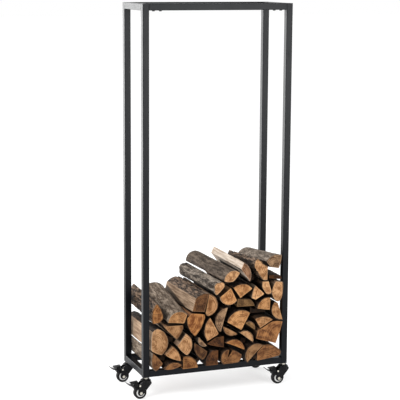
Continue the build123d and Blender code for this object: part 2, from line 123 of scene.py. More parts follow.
# ---- log surface ----------------------------------------------------------------------------
# Noise in the grain: cycles per mm both ways across it and along it, detail, and roughness.
GRAIN_NOISE = {
    "blotches": ((0.045, 0.045, 0.012), 3.0, 0.55),
    "pores": ((0.8, 0.8, 0.05), 4.0, 0.55),
    "fibres": ((0.22, 0.22, 0.009), 5.0, 0.65),
    "fine_fibres": ((1.0, 1.0, 0.03), 3.0, 0.55),
    "patches": ((0.08, 0.08, 0.02), 5.0, 0.7),
    "scales": ((0.42, 0.42, 0.08), 4.0, 0.7),
    "flecks": ((0.12, 0.12, 0.4), 2.0, 0.55),
}
WOBBLE_RATE = 0.03              # cycles per mm of the noise that bends rings and rays
RING_WOBBLE_MM = 16.0
RAY_WOBBLE = 1.5
RING_RATE = 0.32                # cycles per mm out from the pith
BAND_RATE = 0.07
RAY_RATE = 9.0                  # cycles per radian round the pith
END_MIX = {"blotches": 0.75, "rings": 0.45, "bands": 0.2, "pores": 0.55}
END_HEIGHT = {"pores": 1.0, "rings": 0.3, "crack": -1.0}
SPLIT_MIX = {"fibres": 1.0, "blotches": 0.5, "fine_fibres": 0.4}
BARK_MIX = {"patches": 1.0, "scales": 0.6}
RAGGED_EDGE = 0.6               # how far patches shift the line between bark and split
RIM_HIGHLIGHT_MM = (6.0, 2.0)         # from the rim of an end: where its painted highlight starts and is full
INNER_BARK_MM = (4.2, 2.6)      # the same from its bark, for the dark line there
FISSURE_COLOUR = (22, 17, 14)
SHADE_COLOUR = (12, 8, 6)       # of the painted shade on sides that face other logs
COLOUR_SOCKETS = ["End light", "End dark", "Split light", "Split dark", "Bark light", "Bark dark"]

# End-grain colours, light and dark, then split-face colours, light and dark (sRGB, 0 to 255).
WOODS = {
    "tan": ((154, 115, 78), (95, 60, 33), (150, 118, 88), (94, 66, 46)),
    "pale": ((163, 125, 88), (105, 70, 42), (170, 146, 122), (116, 92, 74)),
    "orange": ((145, 100, 58), (85, 48, 23), (140, 98, 64), (86, 54, 34)),
    "golden": ((159, 117, 76), (99, 62, 33), (150, 114, 78), (94, 66, 42)),
    "brown": ((125, 86, 52), (67, 39, 21), (122, 92, 68), (66, 46, 34)),
    "dark": ((82, 51, 27), (37, 20, 10), (82, 60, 44), (42, 30, 22)),
    "umber": ((137, 102, 76), (72, 48, 31), (198, 185, 170), (142, 124, 108)),
    "olive": ((125, 94, 59), (72, 50, 28), (124, 98, 68), (76, 58, 40)),
    "aged": ((123, 82, 49), (64, 38, 20), (158, 134, 110), (92, 70, 52)),
    # painted shade: near-black wood for logs set back in the shade of the gaps
    "shadow": ((44, 30, 20), (24, 17, 12), (40, 29, 22), (22, 16, 12)),
    "weathered": ((140, 111, 83), (70, 50, 35), (128, 108, 90), (70, 56, 46)),
}

# Bark colours, light and dark (sRGB), how deep its fissures are in mm, and how flecked it is.
BARKS = {
    "grey": ((146, 131, 115), (70, 58, 48), 0.8, 0.3),
    "smooth": ((104, 91, 79), (48, 40, 33), 0.6, 0.5),
    "birch": ((144, 132, 119), (40, 33, 27), 0.6, 1.0),
    "rough": ((130, 108, 90), (18, 13, 10), 3.0, 0.5),
    "dark": ((74, 60, 52), (28, 22, 19), 1.4, 0.1),
    "brown": ((92, 70, 54), (40, 30, 24), 1.2, 0.15),
    "light": ((138, 125, 112), (70, 60, 51), 0.9, 0.5),
    "purple": ((110, 94, 92), (54, 44, 44), 1.0, 0.2),
}

WEDGED_LOGS = 17                # small splits set back in the gaps, dark all over as painted shade

# The logs of each CAD node from left to right: wood, how bright its ends are, bark, and the ways
# its flat sides with bark face. A side that bows out has bark anyway.
LOOKS = {
    "logs_bottom_left": [
        ("brown", 0.9, "grey", "left"), ("brown", 0.95, "brown", ""),
        ("orange", 0.85, "brown", "")],
    "logs_bottom_right": [
        ("brown", 0.7, "dark", ""), ("dark", 1.0, "dark", "left"), ("brown", 0.95, "brown", "down"),
        ("tan", 0.8, "dark", ""), ("brown", 1.0, "brown", "")],
    "logs_second_left": [
        ("pale", 0.93, "dark", ""), ("tan", 1.0, "brown", ""), ("pale", 1.0, "brown", "")],
    "logs_second_middle": [
        ("weathered", 1.02, "light", ""), ("tan", 1.02, "dark", ""), ("dark", 1.0, "dark", ""),
        ("tan", 0.9, "dark", ""), ("orange", 1.0, "dark", "")],
    "logs_second_right": [
        ("pale", 0.95, "dark", ""), ("olive", 1.0, "purple", ""), ("tan", 1.0, "brown", ""),
        ("brown", 1.1, "dark", "")],
    "logs_third_left": [
        ("orange", 0.95, "rough", "left up"), ("tan", 0.9, "brown", ""),
        ("golden", 0.95, "grey", ""), ("orange", 1.05, "brown", "")],
    "logs_third_middle": [
        ("tan", 1.0, "brown", ""), ("weathered", 0.98, "brown", ""), ("golden", 1.04, "dark", "")],
    "logs_third_right": [
        ("olive", 0.85, "dark", "up"), ("shadow", 1.0, "dark", "up"), ("golden", 1.0, "brown", ""),
        ("tan", 1.0, "dark", "")],
    "logs_fourth": [
        ("golden", 1.12, "grey", ""), ("golden", 1.06, "dark", "up"),
        ("pale", 1.12, "grey", "left"), ("pale", 1.09, "brown", ""),
        ("pale", 1.04, "brown", ""), ("dark", 0.9, "dark", "up")],
    "log_dark_bark": [("aged", 0.76, "rough", "up")],
    "log_birch": [("pale", 1.08, "birch", "up left")],
    "log_round_grey": [("pale", 1.04, "smooth", "up")],
    "log_pale_split": [("umber", 0.95, "brown", "")],
    "log_rough_bark": [("pale", 1.02, "rough", "up left")],
    "log_top_right": [("weathered", 0.95, "light", "up")],
    "logs_wedged": [("shadow", 1.0, "dark", "")] * WEDGED_LOGS,
}
FACING = {"up": (0, 1), "down": (0, -1), "left": (-1, 0), "right": (1, 0)}

# ---- rack finishes, colours in sRGB, 0 to 255 -----------------------------------------------
POWDER_COLOURS = ((6, 8, 11), (12, 14, 18))
POWDER_RUBBED = (26, 27, 30)
STEEL_COLOURS = ((8, 8, 9), (16, 16, 17))
STEEL_SCRATCH = (70, 70, 72)
ZINC_COLOURS = ((214, 210, 198), (158, 154, 144))
RUBBER_COLOURS = ((10, 10, 11), (26, 26, 25))
PLASTIC_COLOURS = {
    "hub_plastic": ((206, 206, 204), (168, 168, 166)),
    "black_plastic": ((24, 24, 25), (34, 34, 35)),
    "black_screws": ((30, 30, 31), (52, 52, 53)),
}
FLOOR_COLOURS = ((196, 196, 196), (193, 193, 193))
DULL_SPECULAR = 0.1
RUBBER_SPECULAR = 0.15

# Noise on the rack and the floor: cycles per metre along x, y and z, detail, and roughness.
RACK_NOISE = {
    "peel": ((900, 900, 900), 2.0, 0.55),
    "cloud": ((9, 9, 5), 4.0, 0.55),
    "rubbed": ((40, 40, 14), 5.0, 0.7),
    "grime": ((120, 120, 120), 4.0, 0.55),
    "scratch": ((900, 60, 300), 3.0, 0.55),
    "dull": ((260, 260, 260), 4.0, 0.55),
    "dust": ((180, 180, 180), 5.0, 0.55),
    "mottle": ((150, 150, 150), 4.0, 0.55),
    "moulding": ((1500, 1500, 1500), 2.0, 0.55),
    "speckle": ((6, 6, 6), 3.0, 0.55),
}

# ---- all surfaces ---------------------------------------------------------------------------
# The value of its noise, or mix of noises, at which each of these starts and is full.
FADES_IN = {
    "crack": (0.67, 0.72),
    "dark_end": (0.87, 1.07),
    "dark_split": (0.75, 1.15),
    "light_bark": (0.68, 0.95),
    "fleck": (0.6, 0.66),
    "bark": (0.4, 0.6),
    "rubbed": (0.6, 0.75),
    "scratch": (0.66, 0.72),
    "dust": (0.45, 0.75),
}
# How much of the colour under it each of these covers where it is full.
COVERS = {
    "crack": 0.6,
    "rim_highlight": 0.6,
    "inner_bark": 0.85,
    "fissure": 0.8,
    "shade": 0.95,
    "rubbed": 0.35,
    "scratch": 0.3,
}
# Roughness where a surface's own noise is 0, and how much more where it is 1.
ROUGHNESS = {
    "log": (0.68, 0.2),
    "powder_coat": (0.27, 0.12),
    "caster_steel": (0.18, 0.2),
    "zinc": (0.2, 0.25),
    "tyre": (0.5, 0.3),
    "moulded": (0.38, 0.2),
    "floor": (0.8, 0.1),
}
RUBBED_ROUGHNESS = 0.1          # more than the powder coat round it
BUMP_MM = {
    "log": 0.8,
    "powder_coat": 0.12,
    "caster_steel": 0.1,
    "zinc": 0.05,
    "tyre": 0.15,
    "moulded": 0.04,
    "floor": 0.1,
}


# ---- node helpers ---------------------------------------------------------------------------
def linear(colour):
    """An sRGB colour, 0 to 255, as linear RGBA."""
    values = [c / 255 for c in colour]
    return [v / 12.92 if v <= 0.04045 else ((v + 0.055) / 1.055) ** 2.4 for v in values] + [1.0]


def add(tree, kind, inputs=None, **settings):
    """A new node: its inputs, by name or number, are linked to a socket or set to a value."""
    made = tree.nodes.new(kind)
    for name, value in settings.items():
        setattr(made, name, value)
    for key, value in (inputs or {}).items():
        if isinstance(value, bpy.types.NodeSocket):
            tree.links.new(value, made.inputs[key])
        else:
            made.inputs[key].default_value = value
    return made


def calc(tree, operation, first, second=0.0, third=0.0):
    inputs = {0: first, 1: second, 2: third}
    return add(tree, "ShaderNodeMath", inputs, operation=operation).outputs[0]


def times(tree, first, second):
    return calc(tree, "MULTIPLY", first, second)


def vary(tree, base, value, by):
    """base plus value times by."""
    return calc(tree, "MULTIPLY_ADD", value, by, base)


def total(tree, values, weights):
    """The named values, each times its weight, added up in the order of the weights."""
    result = None
    for name, weight in weights.items():
        if result is None:
            result = times(tree, values[name], weight)
        else:
            result = vary(tree, result, values[name], by=weight)
    return result


def blend(tree, factor, first, second):
    """The first colour where factor is 0, the second where it is 1."""
    inputs = {0: factor, 6: first, 7: second}
    return add(tree, "ShaderNodeMix", inputs, data_type="RGBA").outputs[2]


def fade(tree, value, start, end):
    """0 at start, 1 at end, smooth between and flat beyond; end may be the smaller."""
    inputs = {0: value, 1: start, 2: end}
    return add(tree, "ShaderNodeMapRange", inputs, interpolation_type="SMOOTHSTEP").outputs[0]


def fade_in(tree, name, value):
    """0 to 1 as a noise value passes through the named pair of FADES_IN."""
    return fade(tree, value, *FADES_IN[name])


def cover(tree, name, amount, under, over):
    """The colour over, on top of the colour under, by an amount of 0 to 1."""
    return blend(tree, times(tree, amount, COVERS[name]), under, over)


def stretched_noise(tree, vector, rates, detail, roughness):
    """Noise with its own rate along each axis, in cycles per unit."""
    inputs = {0: vector, 1: rates}
    mapped = add(tree, "ShaderNodeVectorMath", inputs, operation="MULTIPLY").outputs[0]
    settings = {"Vector": mapped, "Scale": 1.0, "Detail": detail, "Roughness": roughness}
    return add(tree, "ShaderNodeTexNoise", settings).outputs[0]


def line_noise(tree, value, detail):
    """Noise that varies along one value, once per unit."""
    settings = {"W": value, "Scale": 1.0, "Detail": detail}
    return add(tree, "ShaderNodeTexNoise", settings, noise_dimensions="1D").outputs[0]


def new_material(name):
    material = bpy.data.materials.new(name)
    material.use_nodes = True
    return material, material.node_tree, material.node_tree.nodes["Principled BSDF"]


def roughness_of(tree, surface, value):
    """A surface's roughness, which grows with a noise value."""
    base, more = ROUGHNESS[surface]
    return vary(tree, base, value, by=more)


def finish_material(tree, shader, surface, colour, roughness, height):
    """Links the colour, the roughness and the bumps of a surface to its shader."""
    inputs = {"Height": height, "Distance": BUMP_MM[surface] * MM, "Strength": 1.0}
    bump = add(tree, "ShaderNodeBump", inputs)
    tree.links.new(colour, shader.inputs["Base Color"])
    tree.links.new(roughness, shader.inputs["Roughness"])
    tree.links.new(bump.outputs[0], shader.inputs["Normal"])


# ---- log material ---------------------------------------------------------------------------
def end_surface(tree, grain, noises, reads, given):
    """A sawn end: rings, pores, drying cracks, a painted highlight along its rim, and a dark line
    by the bark.
    """
    wobble_inputs = {"Vector": grain, "Scale": WOBBLE_RATE, "Detail": 2.0}
    wobble = add(tree, "ShaderNodeTexNoise", wobble_inputs).outputs[0]
    across, up, _ = add(tree, "ShaderNodeSeparateXYZ", {0: grain}).outputs
    squares = calc(tree, "ADD", times(tree, across, across), times(tree, up, up))
    radius = vary(tree, calc(tree, "SQRT", squares), wobble, by=RING_WOBBLE_MM)
    rings = line_noise(tree, times(tree, radius, RING_RATE), detail=1.0)
    bands = line_noise(tree, times(tree, radius, BAND_RATE), detail=1.0)
    angle = times(tree, calc(tree, "ARCTAN2", up, across), RAY_RATE)
    rays = line_noise(tree, vary(tree, angle, wobble, by=RAY_WOBBLE), detail=4.0)
    crack = fade_in(tree, "crack", rays)
    values = {**noises, "rings": rings, "bands": bands, "crack": crack}
    dark = fade_in(tree, "dark_end", total(tree, values, END_MIX))
    colour = blend(tree, dark, given["End light"], given["End dark"])
    colour = cover(tree, "crack", crack, colour, given["Bark dark"])
    # painted highlight: the end is lightened towards its rim
    rim_highlight = fade(tree, reads["edge_mm"], *RIM_HIGHLIGHT_MM)
    colour = cover(tree, "rim_highlight", rim_highlight, colour, given["End light"])
    inner_bark = fade(tree, reads["bark_gap_mm"], *INNER_BARK_MM)
    colour = cover(tree, "inner_bark", inner_bark, colour, given["Bark dark"])
    return colour, total(tree, values, END_HEIGHT)


def split_colour(tree, noises, given):
    """A split face: fibres and soft blotches."""
    dark = fade_in(tree, "dark_split", total(tree, noises, SPLIT_MIX))
    return blend(tree, dark, given["Split light"], given["Split dark"])


def bark_colour(tree, noises, reads, given):
    """Bark: pale patches of scales, dark flecks across it, and dark fissures."""
    light = fade_in(tree, "light_bark", total(tree, noises, BARK_MIX))
    colour = blend(tree, light, given["Bark dark"], given["Bark light"])
    fleck = times(tree, fade_in(tree, "fleck", noises["flecks"]), given["Fleck"])
    colour = blend(tree, fleck, colour, given["Bark dark"])
    return cover(tree, "fissure", reads["fissure"], colour, linear(FISSURE_COLOUR))


def side_surface(tree, noises, reads, given):
    """A log's side: bark and split faces with a ragged line between, with painted shade where other
    logs are near.
    """
    shift = vary(tree, -RAGGED_EDGE / 2, noises["patches"], by=RAGGED_EDGE)
    is_bark = fade_in(tree, "bark", calc(tree, "ADD", reads["bark"], shift))
    split = split_colour(tree, noises, given)
    bark = bark_colour(tree, noises, reads, given)
    colour = blend(tree, is_bark, split, bark)
    # painted shade: sides that face other logs are darkened
    colour = cover(tree, "shade", reads["painted_shade"], colour, linear(SHADE_COLOUR))
    scales = times(tree, noises["scales"], reads["bark"])
    return colour, calc(tree, "ADD", noises["fibres"], scales)


def log_group():
    """The shared network: attributes of a log's mesh to colour, roughness and height."""
    tree = bpy.data.node_groups.new("log surface", "ShaderNodeTree")
    for name in COLOUR_SOCKETS:
        tree.interface.new_socket(name, in_out="INPUT", socket_type="NodeSocketColor")
    tree.interface.new_socket("Fleck", in_out="INPUT", socket_type="NodeSocketFloat")
    tree.interface.new_socket("Color", in_out="OUTPUT", socket_type="NodeSocketColor")
    for name in ("Roughness", "Height"):
        tree.interface.new_socket(name, in_out="OUTPUT", socket_type="NodeSocketFloat")
    given = tree.nodes.new("NodeGroupInput").outputs
    reads = {}
    for name in ("bark", "end", "edge_mm", "bark_gap_mm", "fissure", "painted_shade"):
        reads[name] = add(tree, "ShaderNodeAttribute", attribute_name=name).outputs["Fac"]
    grain = add(tree, "ShaderNodeAttribute", attribute_name="grain_mm").outputs["Vector"]
    noises = {name: stretched_noise(tree, grain, *GRAIN_NOISE[name]) for name in GRAIN_NOISE}
    end, end_height = end_surface(tree, grain, noises, reads, given)
    side, side_height = side_surface(tree, noises, reads, given)
    heights = {0: reads["end"], 2: side_height, 3: end_height}
    outputs = {
        "Color": blend(tree, reads["end"], side, end),
        "Roughness": roughness_of(tree, "log", noises["pores"]),
        "Height": add(tree, "ShaderNodeMix", heights).outputs[0],
    }
    add(tree, "NodeGroupOutput", outputs)
    return tree


def log_material(name, wood, bright, bark, group):
    """One log's material: the shared network with this log's wood and bark."""
    material, tree, shader = new_material(name)
    surface = tree.nodes.new("ShaderNodeGroup")
    surface.node_tree = group
    bark_light, bark_dark, _, fleck = BARKS[bark]
    for socket, colour in zip(COLOUR_SOCKETS, [*WOODS[wood], bark_light, bark_dark]):
        shade = bright if socket.startswith("End") else 1.0
        surface.inputs[socket].default_value = linear([c * shade for c in colour])
    surface.inputs["Fleck"].default_value = fleck
    made = surface.outputs
    finish_material(tree, shader, "log", made["Color"], made["Roughness"], made["Height"])
    shader.inputs["Specular IOR Level"].default_value = DULL_SPECULAR
    return material


# ---- log shape ------------------------------------------------------------------------------
def separate_solids(mesh):
    """A CAD mesh as a bmesh, and its connected solids, each a list of that bmesh's vertices."""
    merged = bmesh.new()
    merged.from_mesh(mesh)
    bmesh.ops.remove_doubles(merged, verts=merged.verts, dist=SAME_PLACE)
    merged.verts.ensure_lookup_table()
    seen = set()
    solids = []
    for start in merged.verts:
        if start in seen:
            continue
        seen.add(start)
        waiting = [start]
        solid = []
        while waiting:
            vertex = waiting.pop()
            solid.append(vertex)
            for edge in vertex.link_edges:
                other = edge.other_vert(vertex)
                if other not in seen:
                    seen.add(other)
                    waiting.append(other)
        solids.append(solid)
    return merged, solids


def end_outline(solid, y):
    """The solid's outline in the plane at depth y, as (x, z), counterclockwise from the front."""
    on_end = {v for v in solid if abs(v.co.y - y) < ON_END}
    follows = {}
    for vertex in on_end:
        for edge in vertex.link_edges:
            other = edge.other_vert(vertex)
            if other in on_end:
                flat = [all(v in on_end for v in face.verts) for face in edge.link_faces]
                if flat.count(True) == 1:
                    follows.setdefault(vertex, []).append(other)
    start = min(follows, key=lambda v: (round(v.co.x, 6), round(v.co.z, 6)))
    loop = [start]
    previous, current = None, start
    while True:
        ahead = [v for v in follows[current] if v is not previous]
        previous, current = current, ahead[0]
        if current is start:
            break
        loop.append(current)
    points = np.array([(v.co.x, v.co.z) for v in loop])
    return points if area_of(points) > 0 else points[::-1]


def area_of(points):
    x, z = points[:, 0], points[:, 1]
    return 0.5 * float(np.sum(x * np.roll(z, -1) - np.roll(x, -1) * z))


def centre_of(points):
    x, z = points[:, 0], points[:, 1]
    x_next, z_next = np.roll(x, -1), np.roll(z, -1)
    cross = x * z_next - x_next * z
    moments = np.array([np.sum((x + x_next) * cross), np.sum((z + z_next) * cross)])
    return moments / (6 * area_of(points))


def outline_sides(points):
    """The outline cut at its corners: a list of open polylines, each with both its ends."""
    before = points - np.roll(points, 1, axis=0)
    after = np.roll(points, -1, axis=0) - points
    cross = before[:, 0] * after[:, 1] - before[:, 1] * after[:, 0]
    turn = np.arctan2(cross, np.sum(before * after, axis=1))
    corners = [i for i in range(len(points)) if abs(turn[i]) > CORNER_TURN] or [0]
    sides = []
    for index, first in enumerate(corners):
        last = corners[(index + 1) % len(corners)]
        if last <= first:
            last += len(points)
        sides.append(points[np.arange(first, last + 1) % len(points)])
    return sides


def bow_of(side):
    """A side's length from end to end, the way out of it, and how far it bows out that way."""
    chord = side[-1] - side[0]
    length = float(np.linalg.norm(chord))
    if length == 0:
        return 0.0, np.zeros(2), 0.0
    outward = np.array([chord[1], -chord[0]]) / length
    return length, outward, float(np.max((side - side[0]) @ outward))


def has_bark(side, facing):
    """Whether a side bows out as bark does, or faces one of the ways named in facing."""
    length, outward, bulge = bow_of(side)
    if length < MM or bulge / length > BARK_BULGE:
        return True
    return any(float(outward @ np.array(FACING[way])) > FACING_SHARE for way in facing.split())


def resample(side):
    """Evenly spaced points along a polyline, without its last one."""
    lengths = np.linalg.norm(np.diff(side, axis=0), axis=1)
    along = np.concatenate([[0.0], np.cumsum(lengths)])
    count = max(2, round(along[-1] / OUTLINE_STEP))
    wanted = np.linspace(0, along[-1], count + 1)[:-1]
    return np.column_stack([np.interp(wanted, along, side[:, axis]) for axis in (0, 1)])


def pith_of(sides, barked, centre, chance):
    """Where the growth rings are centred: the centre of the longest bark arc, or a place off it."""
    longest = SMALLEST_ARC
    pith = None
    for side, is_bark in zip(sides, barked):
        length, outward, bulge = bow_of(side)
        if is_bark and length > longest:
            longest = length
            bulge = max(bulge, FLATTEST_ARC * length)
            radius = (length ** 2 / 4 + bulge ** 2) / (2 * bulge)
            pith = (side[0] + side[-1]) / 2 + outward * (bulge - radius)
    if pith is not None:
        return pith
    way = chance.uniform(0, 2 * math.pi)
    return centre + np.array([math.cos(way), math.sin(way)]) * chance.uniform(*PITH_AWAY)


def distance_to(points, targets):
    """Each point's distance to the nearest of the targets."""
    if not len(targets):
        return np.full(len(points), FAR)
    return np.sqrt(((points[:, None, :] - targets[None, :, :]) ** 2).sum(2).min(1))


def core_of(points, sides):
    """The place that is furthest inside the lines of all the sides: the sawn ends shrink to it."""
    low, high = points.min(0), points.max(0)
    xs = np.linspace(low[0], high[0], CORE_GRID)
    zs = np.linspace(low[1], high[1], CORE_GRID)
    grid = np.array([(x, z) for x in xs for z in zs])
    inside = np.full(len(grid), FAR)
    for side in sides:
        inside = np.minimum(inside, (grid - side[0]) @ -bow_of(side)[1])
    return grid[int(np.argmax(inside))] if inside.max() > 0 else centre_of(points)


def wave(points, kind, seed):
    """Smooth noise at each point, -1 to 1, for a kind's place after the seed and its rates."""
    place, rates = kind
    shift = (seed + place) * SEED_SHIFT
    scaled = points * np.array(rates) + shift
    return np.array([noise.noise(Vector(p)) for p in scaled])


def carve(points, name, seed):
    """How deep one of the CARVING noises cuts at each point, in mm."""
    place, rates, deep, lift = CARVING[name]
    return deep * (wave(points, (place, rates), seed) + lift)


def ease(values, low, high):
    """0 up to low, 1 from high on, and smooth between."""
    t = np.clip((values - low) / (high - low), 0, 1)
    return t * t * (3 - 2 * t)


def painted_shade_from_neighbours(places, outward, pile):
    """Painted shade at each point of a side, from how close another log is outside it: 1 when it
    touches, 0 when far.
    """
    found = []
    for place, way in zip(places, outward):
        ahead = Vector((way[0], 0, way[1]))
        hit = pile.ray_cast(Vector(place) + ahead * MM, ahead, PAINTED_SHADE_REACH)[3]
        found.append(PAINTED_SHADE_REACH if hit is None else hit)
    return 1 - ease(np.array(found), 0.0, PAINTED_SHADE_REACH)


class LogShape:
    """One log's grid of points: rings from front to back round its outline, then its two ends."""

    def __init__(self, solid, facing, seed):
        depths = [v.co.y for v in solid]
        self.seed = seed
        self.chance = random.Random(seed)
        self.front, self.back = min(depths), max(depths)
        outline = end_outline(solid, self.front)
        back_outline = end_outline(solid, self.back)
        self.centre = centre_of(outline)
        self.back_centre = centre_of(back_outline)
        self.back_scale = math.sqrt(area_of(back_outline) / area_of(outline))
        sides = outline_sides(outline)
        barked = [has_bark(side, facing) for side in sides]
        pieces = [resample(side) for side in sides]
        flags = [np.full(len(piece), float(bark)) for piece, bark in zip(pieces, barked)]
        self.outline = np.concatenate(pieces)
        self.bark = np.concatenate(flags)
        self.corner_gap = distance_to(self.outline, np.array([piece[0] for piece in pieces]))
        self.pith = pith_of(sides, barked, self.centre, self.chance)
        self.core = core_of(self.outline, sides)

    def section(self, points, share):
        """Points of the front outline moved to a share of the way to the back."""
        scale = 1 + (self.back_scale - 1) * share
        centre = self.centre + (self.back_centre - self.centre) * share
        return (points - self.centre) * scale + centre

    def outward(self):
        """The way out at each point of the outline."""
        ahead = np.roll(self.outline, -1, axis=0) - np.roll(self.outline, 1, axis=0)
        length = np.maximum(np.linalg.norm(ahead, axis=1), 1e-9)
        return np.column_stack([ahead[:, 1], -ahead[:, 0]]) / length[:, None]

    def ring_shares(self):
        """How far back each ring lies, from 0 at the front end to 1 at the back end."""
        count = max(FEWEST_RINGS, round((self.back - self.front) / RING_STEP))
        shares = np.linspace(0, 1, count + 1)
        shares[1] = NARROW_RING * shares[1]
        shares[-2] = 1 - NARROW_RING * (1 - shares[-2])
        return shares

    def side_cuts(self, places, bark, corner_gap, fissure_mm):
        """How far in each side point is carved, in metres, and how fissured it is, 0 to 1."""
        fissure = 1 - ease(np.abs(wave(places, FISSURES, self.seed)), *FISSURE_VALUES)
        knots = carve(places, "knots", self.seed)
        bark_in = fissure * fissure_mm + knots + carve(places, "grit", self.seed)
        split_in = carve(places, "fibre", self.seed) + carve(places, "warp", self.seed)
        inward = np.where(bark > 0.5, bark_in, split_in)
        chips = ease(wave(places, CHIPS, self.seed), *CHIP_VALUES)
        inward += chips * CHIP_DEEP_MM * (1 - ease(corner_gap, 0.0, CHIP_REACH))
        return np.clip(inward, 0, None) * MM, fissure * bark

    def side_points(self, fissure_mm):
        """The side's points as in CAD and as carved, and at each the way out, bark and fissure."""
        shares = self.ring_shares()
        flat = np.concatenate([self.section(self.outline, share) for share in shares])
        depths = self.front + (self.back - self.front) * shares
        places = np.column_stack([flat[:, 0], np.repeat(depths, len(self.outline)), flat[:, 1]])
        normal = np.tile(self.outward(), (len(shares), 1))
        bark = np.tile(self.bark, len(shares))
        corner_gap = np.tile(self.corner_gap, len(shares))
        inward, fissure = self.side_cuts(places, bark, corner_gap, fissure_mm)
        moved = places.copy()
        moved[:, 0] -= normal[:, 0] * inward
        moved[:, 2] -= normal[:, 1] * inward
        return places, moved, normal, bark, fissure

    def end_factors(self, core, rim):
        """How large each ring of a sawn end is beside its rim, from the chamfer inwards."""
        reaches = np.linalg.norm(rim - core, axis=1)
        reach = float(reaches.max())
        narrow = max(float(reaches.min()), NARROWEST_END)
        insets = [inset / narrow for inset in (EDGE_CHAMFER, *END_INSETS)]
        last = min(insets[-1], DEEPEST_INSET)
        rest = max(2, round(reach * (1 - last) / END_STEP))
        factors = [1 - inset for inset in insets if inset < last + 1e-9]
        return factors + [(1 - last) * (1 - step / rest) for step in range(1, rest)]

    def end_points(self, share, y, way, rim):
        """A sawn end from its rim to its core, as in CAD and as carved, and its number of rings.

        share is 0 at the front end and 1 at the back end, and way is -1 and 1.
        """
        core = self.section(self.core[None, :], share)[0]
        factors = self.end_factors(core, rim)
        rings = [core + (rim - core) * factor for factor in factors] + [core[None, :]]
        flat = np.concatenate(rings)
        slope = [self.chance.uniform(-END_LEAN, END_LEAN) for _ in range(2)]
        places = np.column_stack([flat[:, 0], np.full(len(flat), y), flat[:, 1]])
        saw = carve(places, "saw_face", self.seed) + carve(places, "saw_marks", self.seed)
        moved = places.copy()
        moved[:, 1] -= way * (saw * MM + np.abs((flat - core) @ np.array(slope)))
        return places, moved, len(factors)


def ring_faces(first, second, count):
    """Quads between two rings of points that start at those indices."""
    steps = np.arange(count)
    ahead = (steps + 1) % count
    return np.column_stack([first + steps, first + ahead, second + ahead, second + steps]).tolist()


def end_faces(rim_start, start, rings, rounds):
    """The faces of one sawn end: from its rim through its rings to the point in its middle."""
    faces = ring_faces(rim_start, start, rounds)
    for ring in range(rings - 1):
        faces += ring_faces(start + ring * rounds, start + (ring + 1) * rounds, rounds)
    middle = start + rings * rounds
    last = middle - rounds
    return faces + [[last + step, last + (step + 1) % rounds, middle] for step in range(rounds)]


def log_mesh(name, shape, fissure_mm, pile):
    """One log's mesh, with the attributes that the log material reads."""
    side_places, sides, outward, bark, fissure = shape.side_points(fissure_mm)
    side_values = {
        "bark": bark,
        "fissure": fissure * min(1.0, fissure_mm / DEEP_FISSURE_MM),
        # painted shade, from the distance to the nearest other log
        "painted_shade": painted_shade_from_neighbours(side_places, outward, pile),
    }
    rounds = len(shape.outline)
    front_rim = sides[:rounds][:, [0, 2]]
    back_rim = sides[-rounds:][:, [0, 2]]
    front_places, front, front_rings = shape.end_points(0.0, shape.front, -1, front_rim)
    back_places, back, back_rings = shape.end_points(1.0, shape.back, 1, back_rim)
    sides[:rounds, 1] += EDGE_CHAMFER
    sides[-rounds:, 1] -= EDGE_CHAMFER
    last_ring = len(sides) - rounds
    faces = [face[::-1] for start in range(0, last_ring, rounds)
             for face in ring_faces(start, start + rounds, rounds)]
    faces += end_faces(0, len(sides), front_rings, rounds)
    back_start = len(sides) + len(front)
    faces += [face[::-1] for face in end_faces(last_ring, back_start, back_rings, rounds)]
    mesh = bpy.data.meshes.new(name)
    mesh.from_pydata(np.concatenate([sides, front, back]).tolist(), [], faces)
    mesh.update()
    places = np.concatenate([side_places, front_places, back_places])
    set_attributes(mesh, shape, places, side_values, len(front))
    mesh.polygons.foreach_set("use_smooth", [True] * len(mesh.polygons))
    mesh.set_sharp_from_angle(angle=SHARP_TURN)
    return mesh


def set_attributes(mesh, shape, places, side_values, front_count):
    """What the log material reads: which kind of surface, and where it lies in the grain."""
    total_count = len(places)
    side_count = len(side_values["bark"])
    values = {}
    for name, value in side_values.items():
        values[name] = np.concatenate([value, np.zeros(total_count - side_count)])
    values["end"] = (np.arange(total_count) >= side_count).astype(float)
    edge = np.zeros(total_count)
    bark_gap = np.full(total_count, FAR)
    back_start = side_count + front_count
    for share, start, stop in ((0.0, side_count, back_start), (1.0, back_start, total_count)):
        rim = shape.section(shape.outline, share)
        flat = places[start:stop][:, [0, 2]]
        edge[start:stop] = distance_to(flat, rim)
        bark_gap[start:stop] = distance_to(flat, rim[shape.bark > 0.5])
    values["edge_mm"] = edge / MM
    values["bark_gap_mm"] = bark_gap / MM
    for name, value in values.items():
        attribute = mesh.attributes.new(name, "FLOAT", "POINT")
        attribute.data.foreach_set("value", value.astype(np.float32))
    shares = (places[:, 1] - shape.front) / (shape.back - shape.front)
    lean = (shape.back_centre - shape.centre)[None, :] * shares[:, None]
    across = (places[:, [0, 2]] - lean - shape.pith) / MM
    along = places[:, 1] / MM + GRAIN_APART_MM * shape.seed
    grain = np.column_stack([across, along]).astype(np.float32)
    attribute = mesh.attributes.new("grain_mm", "FLOAT_VECTOR", "POINT")
    attribute.data.foreach_set("vector", grain.ravel())


def place_key(solid):
    """Sorts a node's logs from left to right, and of two one above the other, the lower first."""
    front = min(v.co.y for v in solid)
    xs = [v.co.x for v in solid if v.co.y < front + ON_END]
    zs = [v.co.z for v in solid if v.co.y < front + ON_END]
    return (min(xs) + max(xs)) / 2 + HEIGHT_WEIGHT * (min(zs) + max(zs)) / 2


def whole_pile():
    """Every CAD log as one tree to cast rays at."""
    points, faces = [], []
    for node in LOOKS:
        mesh = frame["nodes"][node].data
        faces += [[index + len(points) for index in face.vertices] for face in mesh.polygons]
        points += [vertex.co.copy() for vertex in mesh.vertices]
    return BVHTree.FromPolygons(points, faces)


